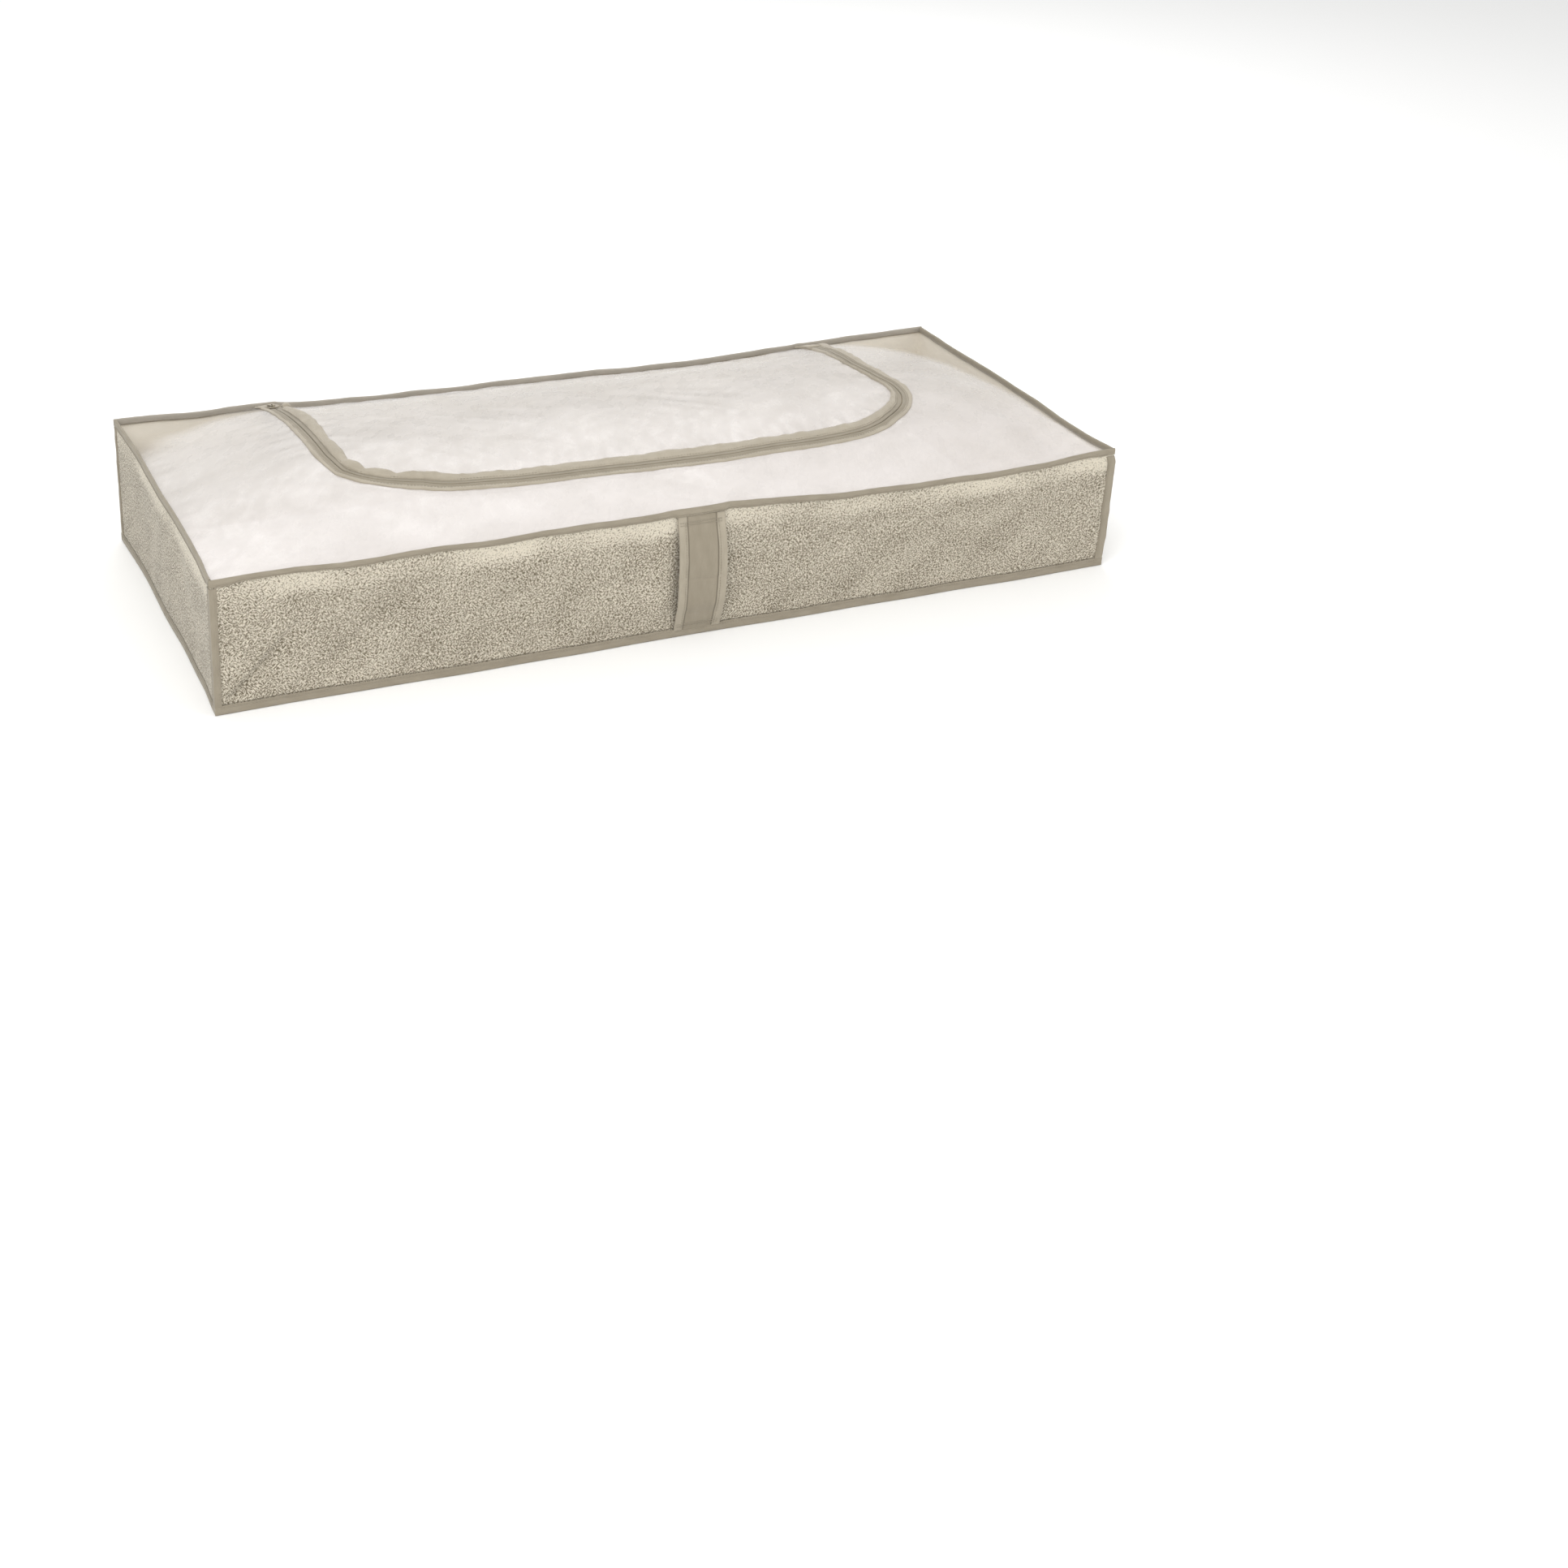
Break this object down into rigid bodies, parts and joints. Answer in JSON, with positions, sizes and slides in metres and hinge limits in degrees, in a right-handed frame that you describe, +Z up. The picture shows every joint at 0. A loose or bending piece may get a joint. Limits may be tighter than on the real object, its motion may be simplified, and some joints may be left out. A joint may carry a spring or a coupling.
{
  "type": "under-bed storage box",
  "caption": "Long low soft-sided fabric storage box with a crowned clear film lid that opens on a U-shaped zip, taped edges and a strap handle on the front.",
  "frame": {"origin": "centre of the base on the floor, midway between the walls", "axes": "+Z up, +X along the length, -Y out of the wall that carries the handle"},
  "size_m": [1.067, 0.4714, 0.1839],
  "materials": {
    "wall_fabric": "heathered tweed-print fabric, plain cream on the inside",
    "base_fabric": "plain nonwoven fabric",
    "binding_tape": "folded plain-weave binding tape",
    "lid_film": "clear, slightly milky film",
    "zip_tape": "woven zip tape",
    "zip_coil": "moulded coil",
    "zip_metal": "satin lacquered metal",
    "handle_webbing": "plain-weave strap"
  },
  "bodies": {
    "root": {"front_wall": "wall_fabric", "rim_binding_front": "binding_tape", "base_binding_front": "binding_tape", "back_wall": "wall_fabric", "rim_binding_back": "binding_tape", "base_binding_back": "binding_tape", "left_wall": "wall_fabric", "rim_binding_left": "binding_tape", "base_binding_left": "binding_tape", "right_wall": "wall_fabric", "rim_binding_right": "binding_tape", "base_binding_right": "binding_tape", "corner_binding_front_left": "binding_tape", "corner_binding_front_right": "binding_tape", "corner_binding_back_left": "binding_tape", "corner_binding_back_right": "binding_tape", "base_panel": "base_fabric", "lid_surround_film": "lid_film", "lid_surround_binding": "zip_tape", "zip_tape_outer": "zip_tape", "zip_coil_outer": "zip_coil", "zip_end_tab_left": "binding_tape", "zip_end_tab_right": "binding_tape", "handle_bottom_end": "handle_webbing", "handle_top_end": "handle_webbing"},
    "lid_flap": {"lid_flap_film": "lid_film", "lid_flap_binding": "zip_tape", "zip_tape_inner": "zip_tape", "zip_coil_inner": "zip_coil"},
    "zip_slider": {"zip_slider_body": "zip_metal"},
    "zip_pull": {"zip_pull_tab": "zip_metal"},
    "handle": {"handle_strap": "handle_webbing", "handle_edge_tape_left": "binding_tape", "handle_edge_tape_right": "binding_tape"}
  },
  "joints": [
    {"name": "flap_hinge", "type": "hinge", "parent": "root", "child": "lid_flap", "pos_m": [0, 0.2235, 0.152], "axis": [-1, 0, 0], "range_deg": [0, 165]},
    {"name": "zip_travel", "type": "hinge", "parent": "root", "child": "zip_slider", "pos_m": [-0.358, 0, -0.55294], "axis": [1, 0, 0], "range_deg": [0, 15.5]},
    {"name": "pull_swing", "type": "hinge", "parent": "zip_slider", "child": "zip_pull", "pos_m": [-0.358, 0.19048, 0.16082], "axis": [1, 0, 0], "range_deg": [0, 165]},
    {"name": "handle_pull", "type": "slide", "parent": "root", "child": "handle", "axis": [0, -1, 0], "range_m": [0, 0.008]}
  ]
}
